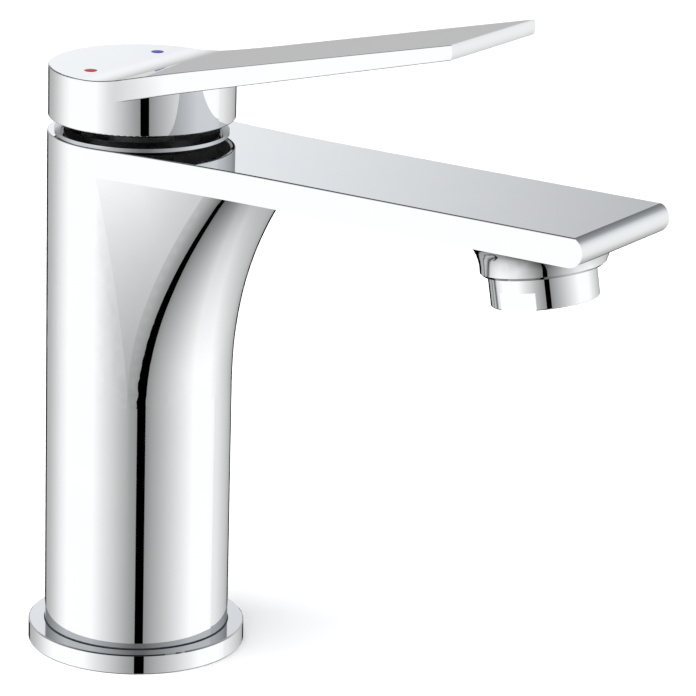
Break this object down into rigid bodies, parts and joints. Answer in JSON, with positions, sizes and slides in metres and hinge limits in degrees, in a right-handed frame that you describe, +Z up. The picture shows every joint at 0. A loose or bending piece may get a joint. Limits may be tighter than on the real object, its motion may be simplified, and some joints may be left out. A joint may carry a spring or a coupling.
{
  "type": "single-lever basin mixer tap",
  "caption": "Chrome single-lever basin mixer with a round body, flat straight spout, leaning aerator and a flat lever handle that lifts and swivels.",
  "frame": {"origin": "on the deck plane, on the axis of the round body, at the underside of the base flange", "axes": "+Z up along the body's axis, +X along the spout towards its outlet"},
  "size_m": [0.1588, 0.053, 0.1659],
  "materials": {
    "chromed_brass": "mirror chrome plate on brass",
    "chromed_zinc": "mirror chrome plate on die-cast zinc",
    "bare_brass": "turned brass",
    "steel": "plain stainless steel",
    "cartridge_plastic": "off-white glass-filled plastic",
    "disc_ceramic": "lapped alumina",
    "aerator_plastic": "grey acetal",
    "seal_rubber": "black rubber",
    "hot_enamel": "red enamel",
    "cold_enamel": "blue enamel"
  },
  "bodies": {
    "root": {"body": "chromed_brass", "base_flange": "chromed_brass", "base_gasket": "seal_rubber", "body_seal": "seal_rubber", "retaining_nut": "bare_brass", "trim_ring": "chromed_brass", "cartridge_base": "cartridge_plastic", "cartridge_housing": "cartridge_plastic", "floor_seals": "seal_rubber", "disc_seals": "seal_rubber", "fixed_disc": "disc_ceramic", "aerator_shell": "chromed_brass", "aerator_insert": "aerator_plastic", "outlet_grid": "aerator_plastic", "flow_regulator": "aerator_plastic", "inlet_screen": "steel", "aerator_washer": "seal_rubber"},
    "rotor": {"stem_rotor": "cartridge_plastic", "stem_pin": "steel"},
    "disc_slider": {"moving_disc": "disc_ceramic", "disc_carrier": "cartridge_plastic"},
    "lever": {"stem": "bare_brass", "handle": "chromed_zinc", "handle_screw": "steel", "screw_plug": "chromed_zinc", "hot_dot": "hot_enamel", "cold_dot": "cold_enamel"}
  },
  "joints": [
    {"name": "swivel", "type": "hinge", "parent": "root", "child": "rotor", "pos_m": [0, 0, 0.1185], "axis": [0, 0, 1], "range_deg": [-45, 45]},
    {"name": "tilt", "type": "hinge", "parent": "rotor", "child": "lever", "pos_m": [0, 0, 0.1185], "axis": [0, -1, 0], "range_deg": [0, 20]},
    {"name": "disc_slide", "type": "slide", "parent": "rotor", "child": "disc_slider", "axis": [1, 0, 0], "range_m": [0, 0.0028]}
  ],
  "couplings": [
    {"joint": "disc_slide", "follows": "tilt", "m_per_rad": 0.0078385}
  ]
}
